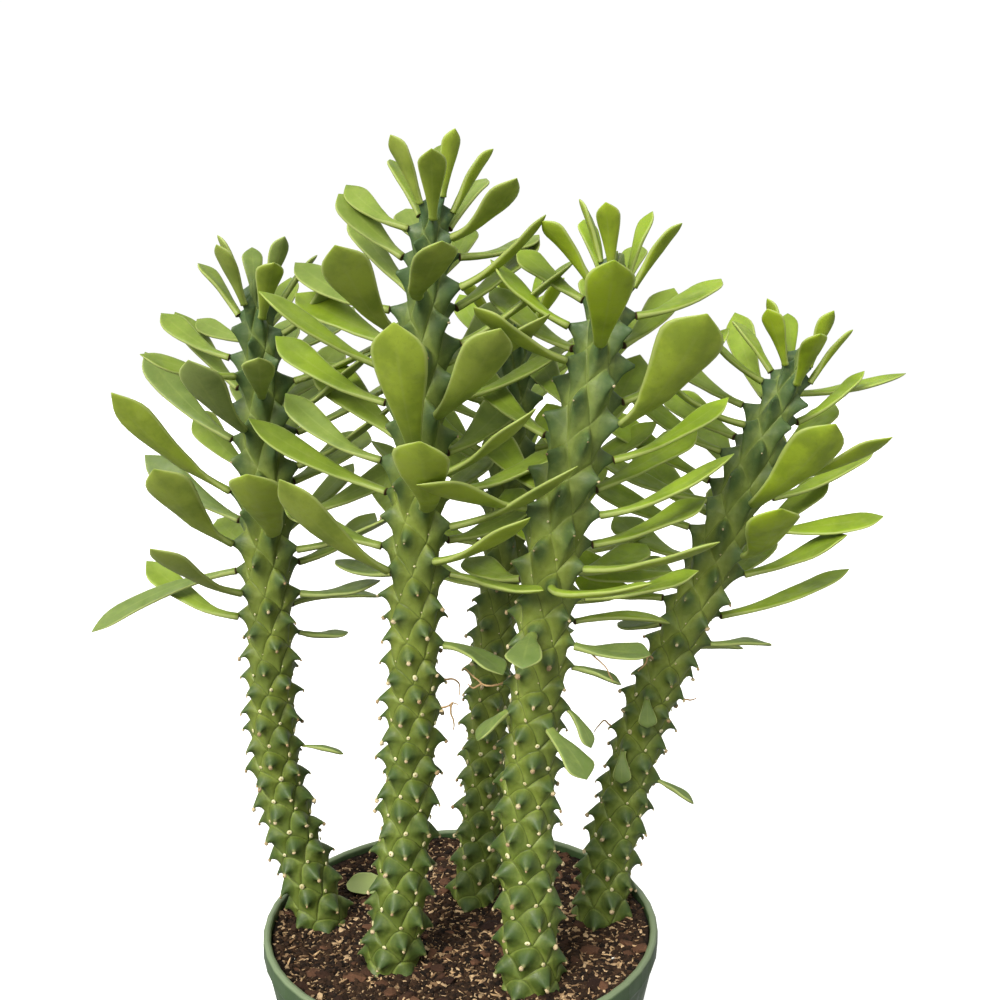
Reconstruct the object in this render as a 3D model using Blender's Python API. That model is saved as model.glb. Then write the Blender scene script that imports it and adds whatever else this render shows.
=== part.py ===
# Potted columnar euphorbia: five knobbly stems with leafy tops in a round nursery pot.
# Metres, +Z up. The origin is the centre of the pot's flat underside, the front is -Y.

import math

import bmesh
import bpy
import numpy as np
from mathutils import Vector

MM = 0.001

# Pot
POT_HEIGHT = 115 * MM
RIM_RADIUS = 78.5 * MM
LIP_HEIGHT = 9 * MM
LIP_STEP = 1.2 * MM
BASE_RADIUS = 56 * MM
WALL = 1.8 * MM
FLOOR_THICKNESS = 2.6 * MM
DRAIN_HOLES = 8
DRAIN_RADIUS = 3.5 * MM
DRAIN_CIRCLE = 46 * MM
POT_SIDES = 48

# Soil
SOIL_BELOW_RIM = 7 * MM
SOIL_LEVEL = POT_HEIGHT - SOIL_BELOW_RIM
STEMS_SUNK = 3 * MM
STEM_ZERO = SOIL_LEVEL - STEMS_SUNK
SOIL_DIP = 2 * MM
SOIL_RINGS = 6
SOCKET_DEPTH = 10 * MM

# Clearances between pieces that touch on the real plant
GAP = 0.3 * MM
SOCKET_GAP = 0.4 * MM

# Growth: each knob sits this angle round the stem from the one below it
DIVERGENCE = 137.5
KNOB_PITCH_LOW = 1.76 * MM
KNOB_PITCH_HIGH = 2.5 * MM
KNOB_PITCH_TIP = 1.35 * MM
KNOB_OUT_LOW = 3.6 * MM
KNOB_OUT_HIGH = 6.0 * MM
KNOB_END_WIDE = 1.5 * MM
KNOB_END_TALL = 1.2 * MM
KNOB_DROOP = 0.8 * MM
CROWN_LEAVES = 7
LEAF_THICKNESS = 2.4 * MM
LEAF_ROLL = 32
LEAF_ROLL_RIGHT = 9
LEAF_FACING = 0.7
CROWN_LEAF_LENGTH = 23

# A shed leaf on the soil
FALLEN_LEAF_PLACE = (-46 * MM, 40 * MM)
FALLEN_LEAF_TURN = 150
FALLEN_LEAF_LENGTH = 17 * MM
FALLEN_LEAF_WIDTH = 8 * MM

LEAF_GREEN = (0.190, 0.300, 0.060)
STEM_GREEN = (0.130, 0.235, 0.070)
POT_GREEN = (0.050, 0.130, 0.060)
SOIL_BROWN = (0.075, 0.040, 0.026)

# Heights here are in mm above STEM_ZERO, a little below the soil's surface. Each stem: its centre line
# from inside the soil to the growing tip (x, y and height), its radius near the soil, which way its
# knobs wind, and one knob's height and angle. Each leaf: its knob's height and angle, the leaf's own
# heading and rise in degrees, then its length and width in mm. Angles run from the front towards +X.
STEMS = {
    "stem_1": {
        "line": [(-57.5, 9, -11), (-57.5, 9, 0), (-63, 9, 22), (-71, 10, 50), (-75.5, 10, 80),
                 (-76, 11, 137), (-76.5, 12, 216), (-78, 13, 262)],
        "radius": 8.3 * MM,
        "winding": -1,
        "knob": (111, -5),
        "leaves": [
            (251, -110, -125, 15, 33, 9),
            (238, -95, -120, 27, 38, 10),
            (227, -80, -62, 14, 36, 11),
            (215, 5, 10, 30, 30, 12),
            (204, -55, -18, 38, 44, 16),
            (197, -95, -118, 38, 55, 13),
            (189, -85, -50, 42, 60, 14),
            (164, 8, -4, 36, 48, 20),
            (163, -45, -27, 42, 50, 18),
            (139, -30, -30, 30, 50, 14),
            (135, -100, -120, 22, 50, 11),
            (139, 140, 122, -4, 42, 9),
            (150, -70, -80, -22, 62, 10),
        ],
    },
    "stem_2": {
        "line": [(-26, -22, -11), (-26, -22, 0), (-22.5, -23, 29), (-20, -23, 57), (-17.5, -23, 90),
                 (-15, -23.5, 161), (-11.5, -24, 236), (-6.5, -24, 292)],
        "radius": 8.4 * MM,
        "winding": -1,
        "knob": (90, 0),
        "leaves": [
            (287, -95, -135, 29, 35, 9),
            (288, 115, 135, 14, 40, 10),
            (249, -100, -130, 21, 50, 12),
            (248, -5, 20, 22, 42, 15),
            (243, -60, -22, 36, 46, 16),
            (218, 20, 34, 37, 50, 17),
            (223, -95, -118, 26, 54, 12),
            (218, 90, 118, 23, 54, 11),
            (201, -25, -8, 55, 54, 19),
            (194, -95, -126, 27, 50, 11),
            (188, 0, -2, 36, 47, 19),
            (178, -105, -98, 26, 60, 12),
            (178, 85, 54, 26, 58, 11),
            (167, -48, -45, 40, 58, 14),
            (159, 40, 48, 25, 50, 12),
            (160, 60, 38, 2, 48, 9),
            (135, 56, 44, -10, 30, 13),
        ],
    },
    "stem_3": {
        "line": [(27, -36, -11), (27, -36, 0), (26, -35, 35), (25.5, -34, 74), (28.5, -33, 111),
                 (35, -31.5, 170), (46, -30, 219), (56.5, -28, 269)],
        "radius": 9.0 * MM,
        "winding": 1,
        "knob": (91, 6),
        "leaves": [
            (263, 90, 125, 19, 42, 14),
            (236, -18, 2, 36, 44, 16),
            (220, 90, 118, 29, 54, 13),
            (216, 30, 31, 43, 55, 22),
            (196, 90, 115, 24, 52, 11),
            (180, 105, 108, 22, 55, 11),
            (166, 80, 52, 17, 54, 11),
            (156, 20, 44, 12, 50, 9),
            (135, 125, 118, -8, 44, 8),
            (134, -20, -10, -15, 22, 13),
            (107, 50, 36, -28, 24, 12),
        ],
    },
    "stem_4": {
        "line": [(57, 11.5, -11), (57, 11.5, 0), (61.5, 13, 31), (69, 14, 65), (77, 15, 95),
                 (97, 17.5, 142), (119, 20, 200), (135, 22, 236)],
        "radius": 8.6 * MM,
        "winding": -1,
        "knob": (35, 24),
        "leaves": [
            (227, 150, 98, 8, 54, 12),
            (208, -150, -172, 44, 50, 13),
            (178, 25, 42, 43, 50, 22),
            (178, 95, 112, 20, 52, 13),
            (153, 30, 2, 33, 46, 20),
            (140, 90, 96, 18, 58, 14),
            (133, 90, 122, -8, 32, 8),
        ],
    },
    "stem_5": {
        "line": [(4.5, 28, -11), (4.5, 28, 0), (7, 30, 23), (9, 32, 55), (12, 35, 105),
                 (17.5, 38.5, 156), (21.5, 42, 223), (23, 44, 252)],
        "radius": 7.8 * MM,
        "winding": 1,
        "knob": (75, 0),
        "leaves": [
            (243, 140, 125, 22, 42, 12),
            (235, -170, 170, 48, 40, 13),
            (225, -120, -125, 25, 48, 12),
        ],
    },
}


def clear_scene():
    for thing in list(bpy.data.objects):
        bpy.data.objects.remove(thing, do_unlink=True)


def finish(name, colour, roughness):
    material = bpy.data.materials.new(name)
    material.use_nodes = True
    shader = material.node_tree.nodes["Principled BSDF"]
    shader.inputs["Base Color"].default_value = (*colour, 1.0)
    shader.inputs["Roughness"].default_value = roughness
    shader.inputs["Metallic"].default_value = 0.0
    material.diffuse_color = (*colour, 1.0)
    return material


def add_object(name, mesh_build, colour, roughness, parent):
    bmesh.ops.triangulate(mesh_build, faces=mesh_build.faces[:])
    bmesh.ops.recalc_face_normals(mesh_build, faces=mesh_build.faces[:])
    if mesh_build.calc_volume(signed=True) < 0:
        bmesh.ops.reverse_faces(mesh_build, faces=mesh_build.faces[:])
    mesh = bpy.data.meshes.new(name)
    mesh_build.to_mesh(mesh)
    mesh_build.free()
    mesh.materials.append(finish(name + "_finish", colour, roughness))
    thing = bpy.data.objects.new(name, mesh)
    bpy.context.scene.collection.objects.link(thing)
    thing.parent = parent
    return thing


def bridge(build, lower, upper):
    count = len(lower)
    for i in range(count):
        j = (i + 1) % count
        build.faces.new((lower[i], lower[j], upper[j], upper[i]))


def turned_body(build, profile, sides):
    """A closed turned body. The profile runs from the axis round to the axis again."""
    rings = []
    for radius, height in profile[1:-1]:
        ring = []
        for i in range(sides):
            angle = math.tau * i / sides
            ring.append(build.verts.new((radius * math.cos(angle), radius * math.sin(angle), height)))
        rings.append(ring)
    for lower, upper in zip(rings, rings[1:]):
        bridge(build, lower, upper)
    for ring, (_, height) in ((rings[0], profile[0]), (rings[-1], profile[-1])):
        centre = build.verts.new((0.0, 0.0, height))
        for i in range(sides):
            build.faces.new((ring[i], ring[(i + 1) % sides], centre))


def inner_radius(height):
    """Radius of the pot's inner wall at a height."""
    share = height / (POT_HEIGHT - LIP_HEIGHT)
    top = RIM_RADIUS - LIP_STEP - WALL
    bottom = BASE_RADIUS - WALL
    return bottom + (top - bottom) * min(share, 1.0)


def cylinder(radius, low, high, sides):
    build = bmesh.new()
    turned_body(build, [(0, low), (radius, low), (radius, high), (0, high)], sides)
    bmesh.ops.recalc_face_normals(build, faces=build.faces[:])
    mesh = bpy.data.meshes.new("cutter")
    build.to_mesh(mesh)
    build.free()
    return mesh


def cut(target, cutter_mesh, places):
    """Cut the same cutter out of a body at each place."""
    for x, y in places:
        cutter = bpy.data.objects.new("cutter", cutter_mesh)
        cutter.location = (x, y, 0.0)
        bpy.context.scene.collection.objects.link(cutter)
        bpy.context.view_layer.update()
        modifier = target.modifiers.new("cut", "BOOLEAN")
        modifier.operation = "DIFFERENCE"
        modifier.solver = "EXACT"
        modifier.object = cutter
        graph = bpy.context.evaluated_depsgraph_get()
        cut_mesh = bpy.data.meshes.new_from_object(target.evaluated_get(graph))
        target.modifiers.remove(modifier)
        old_mesh = target.data
        target.data = cut_mesh
        cut_mesh.name = old_mesh.name
        bpy.data.meshes.remove(old_mesh)
        bpy.data.objects.remove(cutter, do_unlink=True)
    triangulated = bmesh.new()
    triangulated.from_mesh(target.data)
    bmesh.ops.triangulate(triangulated, faces=triangulated.faces[:])
    triangulated.to_mesh(target.data)
    triangulated.free()


def make_pot(parent):
    outer_top = RIM_RADIUS - LIP_STEP
    lip_under = POT_HEIGHT - LIP_HEIGHT
    roll = 0.5 * (RIM_RADIUS - (outer_top - WALL))
    profile = [
        (0, 0),
        (BASE_RADIUS - 1.5 * MM, 0),
        (BASE_RADIUS, 1.5 * MM),
        (outer_top, lip_under),
        (RIM_RADIUS - 0.5 * MM, lip_under + 0.8 * MM),
        (RIM_RADIUS, lip_under + 2.2 * MM),
    ]
    for i in range(7):
        angle = math.pi * i / 6
        profile.append((RIM_RADIUS - roll + roll * math.cos(angle),
                        POT_HEIGHT - roll + roll * math.sin(angle)))
    profile += [
        (inner_radius(lip_under), lip_under),
        (inner_radius(FLOOR_THICKNESS + 2 * MM), FLOOR_THICKNESS + 2 * MM),
        (inner_radius(FLOOR_THICKNESS) - 2 * MM, FLOOR_THICKNESS),
        (0, FLOOR_THICKNESS),
    ]
    build = bmesh.new()
    turned_body(build, profile, POT_SIDES)
    pot = add_object("pot", build, POT_GREEN, 0.45, parent)
    places = []
    for i in range(DRAIN_HOLES):
        angle = math.tau * (i + 0.5) / DRAIN_HOLES
        places.append((DRAIN_CIRCLE * math.cos(angle), DRAIN_CIRCLE * math.sin(angle)))
    cut(pot, cylinder(DRAIN_RADIUS, -5 * MM, 5 * MM, 12), places)
    for face in pot.data.polygons:
        face.use_smooth = True
    return pot


def soil_dip(x, y):
    """Depth of the loose surface below its highest level."""
    wave = math.sin(x / (9 * MM) + 1.3) * math.sin(y / (7 * MM)) + math.sin((x - y) / (13 * MM))
    return SOIL_DIP * (0.5 + 0.25 * wave)


def make_soil(stem_bases, parent):
    top = SOIL_LEVEL
    low = FLOOR_THICKNESS + GAP
    wall_low = FLOOR_THICKNESS + 2 * MM + GAP
    build = bmesh.new()
    rings = []
    outline = [(inner_radius(FLOOR_THICKNESS) - 2 * MM - 2 * GAP, low), (inner_radius(wall_low) - 2 * GAP, wall_low)]
    edge = inner_radius(top) - 2 * GAP
    for radius, height in outline:
        rings.append([build.verts.new((radius * math.cos(math.tau * i / POT_SIDES),
                                       radius * math.sin(math.tau * i / POT_SIDES), height))
                      for i in range(POT_SIDES)])
    for k in range(SOIL_RINGS):
        radius = edge * (1 - k / SOIL_RINGS)
        ring = []
        for i in range(POT_SIDES):
            x = radius * math.cos(math.tau * i / POT_SIDES)
            y = radius * math.sin(math.tau * i / POT_SIDES)
            ring.append(build.verts.new((x, y, top - soil_dip(x, y))))
        rings.append(ring)
    for lower, upper in zip(rings, rings[1:]):
        bridge(build, lower, upper)
    for ring, height in ((rings[0], low), (rings[-1], top - soil_dip(0, 0))):
        centre = build.verts.new((0, 0, height))
        for i in range(POT_SIDES):
            build.faces.new((ring[i], ring[(i + 1) % POT_SIDES], centre))
    soil = add_object("soil", build, SOIL_BROWN, 0.95, parent)
    for (x, y), radius in stem_bases:
        cut(soil, cylinder(radius + SOCKET_GAP, top - SOCKET_DEPTH - 2 * GAP, top + 5 * MM, 20), [(x, y)])
    return soil


def catmull_rom(points, steps):
    """A smooth line through the points, closely sampled."""
    points = np.array(points, dtype=float) * MM + np.array([0.0, 0.0, STEM_ZERO])
    ends = np.vstack([2 * points[0] - points[1], points, 2 * points[-1] - points[-2]])
    line = []
    for i in range(1, len(ends) - 2):
        a, b, c, d = ends[i - 1:i + 3]
        for t in np.arange(steps) / steps:
            line.append(0.5 * (2 * b + (c - a) * t + (2 * a - 5 * b + 4 * c - d) * t * t
                               + (3 * b - a - 3 * c + d) * t ** 3))
    line.append(ends[-2])
    return np.array(line)


class Stem:
    """One stem's centre line, thickness and knob positions."""

    def __init__(self, spec):
        self.line = catmull_rom(spec["line"], 12)
        self.radius = spec["radius"]
        self.winding = spec["winding"]
        self.start_angle = spec["knob"][1]
        steps = np.linalg.norm(np.diff(self.line, axis=0), axis=1)
        self.along = np.concatenate([[0.0], np.cumsum(steps)])
        self.length = self.along[-1]
        self.soil = float(np.interp(SOIL_LEVEL, self.line[:, 2], self.along))
        self.base = self.along_at_height(0)
        self.place_knobs(self.along_at_height(spec["knob"][0]))

    def along_at_height(self, height):
        return float(np.interp(STEM_ZERO + height * MM, self.line[:, 2], self.along))

    def share(self, along):
        return (along - self.base) / (self.length - self.base)

    def pitch(self, along):
        return float(np.interp(self.share(along), (0, 0.42, 0.62, 0.86, 1),
                               (KNOB_PITCH_LOW, KNOB_PITCH_LOW, KNOB_PITCH_HIGH, KNOB_PITCH_HIGH,
                                KNOB_PITCH_TIP)))

    def place_knobs(self, anchor):
        up = [anchor]
        while up[-1] < self.length + 12 * MM:
            up.append(up[-1] + self.pitch(up[-1]))
        down = [anchor]
        while down[-1] > self.base - 20 * MM:
            down.append(down[-1] - self.pitch(down[-1]))
        self.heights = np.array(down[:0:-1] + up)
        self.numbers = np.arange(len(self.heights)) - (len(down) - 1)
        lowest = SOIL_LEVEL + KNOB_END_TALL + KNOB_DROOP + 1.0 * MM
        upward = [n for n in self.numbers if self.along_at(n) < self.length - 3 * MM]
        buried = [n for n in upward if self.knob_end(n)[0][2] <= lowest]
        self.knobs = [n for n in upward if n > buried[-1]]

    def along_at(self, number):
        return float(np.interp(number, self.numbers, self.heights))

    def angle_at(self, number):
        return self.start_angle + self.winding * DIVERGENCE * number

    def core(self, along):
        share = self.share(along)
        return self.radius * float(np.interp(share, (0, 0.06, 0.2, 0.8, 0.93, 1.0),
                                             (1.16, 1.08, 1.0, 0.95, 0.75, 0.30)))

    def knob_out(self, along):
        return float(np.interp(self.share(along), (0, 0.45, 0.62, 0.88, 1.0),
                               (KNOB_OUT_LOW, KNOB_OUT_LOW, KNOB_OUT_HIGH, KNOB_OUT_HIGH, 2.4 * MM)))

    def axes(self, along):
        """Centre, upward, front and right directions at a distance along the stem."""
        centre = np.array([np.interp(along, self.along, self.line[:, k]) for k in range(3)])
        along = min(max(along, 3 * MM), self.length - MM)
        ahead = np.array([np.interp(along + 2 * MM, self.along, self.line[:, k]) for k in range(3)])
        behind = np.array([np.interp(along - 2 * MM, self.along, self.line[:, k]) for k in range(3)])
        up = (ahead - behind) / np.linalg.norm(ahead - behind)
        front = np.array([0.0, -1.0, 0.0])
        front = front - front.dot(up) * up
        front /= np.linalg.norm(front)
        return centre, up, front, np.cross(up, front)

    def outward(self, along, angle):
        _, _, front, right = self.axes(along)
        turn = math.radians(angle)
        return math.cos(turn) * front + math.sin(turn) * right

    def surface(self, along, angle, radius):
        centre = self.axes(along)[0]
        return centre + radius * self.outward(along, angle)

    def knob_end(self, number):
        """Centre, outward, side and upward directions of a knob's end face."""
        along = self.along_at(number)
        angle = self.angle_at(number)
        _, up, _, _ = self.axes(along)
        outward = self.outward(along, angle)
        side = np.cross(up, outward)
        centre = self.surface(along, angle, self.core(along) + self.knob_out(along)) - up * KNOB_DROOP
        return centre, outward, side, up

    def nearest_knob(self, height, angle, taken):
        along = self.along_at_height(height)
        best = None
        for number in self.knobs:
            if number in taken or number > self.knobs[-1] - CROWN_LEAVES:
                continue
            turn = (self.angle_at(number) - angle + 180) % 360 - 180
            rise = (self.along_at(number) - along) / MM
            miss = math.hypot(turn * 0.25, rise)
            if best is None or miss < best[0]:
                best = (miss, number)
        return best[1]


def leaf_rings(end, heading, rise, length, width, arch, roll, offset):
    """Four-cornered cross-sections of a leaf (upper, right, under, left), from its foot to its tip."""
    foot, outward, side, up = end
    start = foot + outward * offset
    wide = KNOB_END_WIDE * 0.95
    tall = KNOB_END_TALL * 0.95
    rings = [[start + up * tall, start + side * wide, start - up * tall, start - side * wide]]
    side_angle = math.atan2(outward[0], -outward[1])
    turn = (math.radians(heading) - side_angle + math.pi) % math.tau - math.pi
    stations = (0.0, 0.2, 0.45, 0.74, 0.91, 1.0)
    widths = (0.26, 0.36, 0.66, 1.0, 0.80, 0.12)
    depths = (1.0, 1.0, 0.95, 0.85, 0.6, 0.25)
    centre = start
    last = 0.0
    for t, broad, deep in zip(stations[1:], widths[1:], depths[1:]):
        middle = 0.5 * (t + last)
        slope = math.radians(rise + arch * (middle - 0.5))
        bearing = side_angle + turn * min(middle / 0.3, 1.0)
        along = np.array([math.sin(bearing) * math.cos(slope), -math.cos(bearing) * math.cos(slope),
                          math.sin(slope)])
        across = np.array([math.cos(bearing), math.sin(bearing), 0.0])
        upper = np.cross(along, across)
        spin = math.radians(roll) * min(middle / 0.3, 1.0)
        across, upper = (across * math.cos(spin) + upper * math.sin(spin),
                         upper * math.cos(spin) - across * math.sin(spin))
        centre = centre + along * (t - last) * length * MM
        half = 0.5 * width * MM * broad
        thick = 0.5 * LEAF_THICKNESS * deep
        rings.append([centre + upper * thick, centre + across * half, centre - upper * thick,
                      centre - across * half])
        last = t
    return rings


def skin_leaf(build, rings, foot=None):
    """Skin the rings. The foot is an existing ring, or None for a separate leaf with its own end."""
    layers = [foot or [build.verts.new(Vector(p)) for p in rings[0]]]
    if foot is None:
        build.faces.new(layers[0])
    for ring in rings[1:]:
        layers.append([build.verts.new(Vector(p)) for p in ring])
        bridge(build, layers[-2], layers[-1])
    build.faces.new(layers[-1])


def make_stem(name, stem, parent):
    """Knobbly stem: a net of four-cornered cells, each drawn out into a blunt knob."""
    build = bmesh.new()
    first, last = int(stem.knobs[0]), int(stem.knobs[-1])
    floor = SOIL_LEVEL + 0.1 * MM
    corners = {}
    for number in range(first - 8, last + 1):
        along = stem.soil if number < first else min(stem.along_at(number + 4), stem.length)
        place = Vector(stem.surface(along, stem.angle_at(number) + stem.winding * 10, stem.core(along)))
        place.z = floor if number < first else max(place.z, floor + GAP)
        corners[number] = build.verts.new(place)
    for number in stem.knobs:
        number = int(number)
        centre, outward, side, up = stem.knob_end(number)
        points = [centre + up * KNOB_END_TALL, centre + side * KNOB_END_WIDE,
                  centre - up * KNOB_END_TALL, centre - side * KNOB_END_WIDE]
        end = [build.verts.new(Vector(p)) for p in points]
        right, left = (number - 3, number - 5) if stem.winding < 0 else (number - 5, number - 3)
        base = [corners[number], corners[right], corners[number - 8], corners[left]]
        bridge(build, base, end)
        if number > last - CROWN_LEAVES:
            step = last - number
            rings = leaf_rings((centre, outward, side, up), stem.angle_at(number), 70 - 4.5 * step,
                               CROWN_LEAF_LENGTH + 0.9 * step, 7.5 + 0.5 * step, -14, 0, 0.0)
            skin_leaf(build, rings, foot=end)
        else:
            build.faces.new(end)
    apex = build.verts.new(Vector(stem.surface(stem.length, 0, 0.0) + np.array([0, 0, 1.2 * MM])))
    top = sorted(range(last - 7, last + 1), key=lambda n: stem.angle_at(n) % 360)
    for i, number in enumerate(top):
        build.faces.new((corners[number], corners[top[(i + 1) % 8]], apex))
    ring = sorted(range(first - 8, first), key=lambda n: stem.angle_at(n) % 360)
    plug = []
    for number in ring:
        place = corners[number].co.copy()
        place.z = SOIL_LEVEL - SOCKET_DEPTH
        plug.append(build.verts.new(place))
    bridge(build, plug, [corners[n] for n in ring])
    build.faces.new(plug)
    return add_object(name, build, STEM_GREEN, 0.55, parent)


def leaf_roll(heading, rise):
    """Steep leaves in front turn their face forward; leaves at the sides tip about their own length."""
    if abs(heading) <= 60:
        return -LEAF_FACING * heading if rise > 30 else 0
    return LEAF_ROLL_RIGHT if heading > 0 else -LEAF_ROLL


def make_leaves(stem_name, stem, leaves, parent):
    taken = set()
    for index, (height, angle, heading, rise, length, width) in enumerate(leaves, start=1):
        number = int(stem.nearest_knob(height, angle, taken))
        taken.add(number)
        arch = 24 if rise > 0 else -24
        roll = leaf_roll(heading, rise)
        build = bmesh.new()
        rings = leaf_rings(stem.knob_end(number), heading, rise, length, width, arch, roll, GAP)
        skin_leaf(build, rings)
        add_object(f"{stem_name}_leaf_{index:02d}", build, LEAF_GREEN, 0.5, parent)


def make_fallen_leaf(parent):
    """A small shed leaf lying flat on the soil, near the back left of the rim."""
    x, y = FALLEN_LEAF_PLACE
    turn = math.radians(FALLEN_LEAF_TURN)
    along = np.array([math.cos(turn), math.sin(turn), 0.0])
    across = np.array([-along[1], along[0], 0.0])
    level = SOIL_LEVEL + GAP + 0.8 * MM
    rings = []
    for t, broad, deep in ((0.0, 0.2, 0.5), (0.35, 0.8, 0.9), (0.65, 1.0, 1.0), (0.9, 0.6, 0.7), (1.0, 0.15, 0.4)):
        centre = np.array([x, y, level]) + along * (t - 0.5) * FALLEN_LEAF_LENGTH
        half = 0.5 * FALLEN_LEAF_WIDTH * broad * across
        thick = np.array([0.0, 0.0, 0.75 * MM * deep])
        rings.append([centre + thick, centre + half, centre - thick, centre - half])
    build = bmesh.new()
    skin_leaf(build, rings)
    add_object("fallen_leaf", build, LEAF_GREEN, 0.5, parent)


def make_plant():
    clear_scene()
    root = bpy.data.objects.new("potted_euphorbia", None)
    root.empty_display_size = 0.05
    bpy.context.scene.collection.objects.link(root)
    stems = {name: Stem(spec) for name, spec in STEMS.items()}
    make_pot(root)
    bases = []
    for stem in stems.values():
        centre = stem.axes(stem.soil)[0]
        bases.append(((centre[0], centre[1]), stem.core(stem.soil)))
    make_soil(bases, root)
    for name, stem in stems.items():
        make_stem(name, stem, root)
        make_leaves(name, stem, STEMS[name]["leaves"], root)
    make_fallen_leaf(root)
    bpy.context.view_layer.update()


make_plant()
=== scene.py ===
import math

import bmesh
import bpy
import numpy as np
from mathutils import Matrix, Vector


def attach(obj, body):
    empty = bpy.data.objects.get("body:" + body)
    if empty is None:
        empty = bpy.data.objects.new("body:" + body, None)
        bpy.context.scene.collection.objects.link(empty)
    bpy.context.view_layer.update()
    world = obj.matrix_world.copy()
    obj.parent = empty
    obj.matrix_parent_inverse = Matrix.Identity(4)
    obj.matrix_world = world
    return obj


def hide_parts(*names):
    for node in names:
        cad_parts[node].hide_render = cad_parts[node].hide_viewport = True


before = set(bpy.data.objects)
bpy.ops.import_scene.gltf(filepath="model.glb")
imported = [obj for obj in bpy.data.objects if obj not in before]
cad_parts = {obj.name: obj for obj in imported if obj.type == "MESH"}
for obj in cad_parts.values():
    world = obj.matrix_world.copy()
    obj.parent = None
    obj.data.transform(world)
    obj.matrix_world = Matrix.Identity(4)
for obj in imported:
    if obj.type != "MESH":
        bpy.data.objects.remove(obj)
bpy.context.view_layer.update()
mm = 0.001


def srgb(red, green, blue):
    # screen colour in 0 to 255, turned into the shader's linear values
    values = [c / 255 for c in (red, green, blue)]
    return tuple(c / 12.92 if c <= 0.04045 else ((c + 0.055) / 1.055) ** 2.4 for c in values) + (1.0,)


def smooth(x, low, high):
    t = np.clip((x - low) / (high - low), 0, 1)
    return t * t * (3 - 2 * t)


# growth: the stems' lines and the places of their knobs, as in the CAD

growth = {
    "stemZero": 105 * mm,
    "soilLevel": 108 * mm,
    "divergence": 137.5,
    "pitchLow": 1.76 * mm,
    "pitchHigh": 2.5 * mm,
    "pitchTip": 1.35 * mm,
    "knobOutLow": 3.6 * mm,
    "knobOutHigh": 6.0 * mm,
    "knobOutTip": 2.4 * mm,
    "knobEndTall": 1.2 * mm,
    "knobDroop": 0.8 * mm,
    "crownLeaves": 7,
    "crownLeafLength": 23,
    "leafRoll": 32,
    "leafRollRight": 9.0,
    "leafFacing": 0.7,
}

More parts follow.
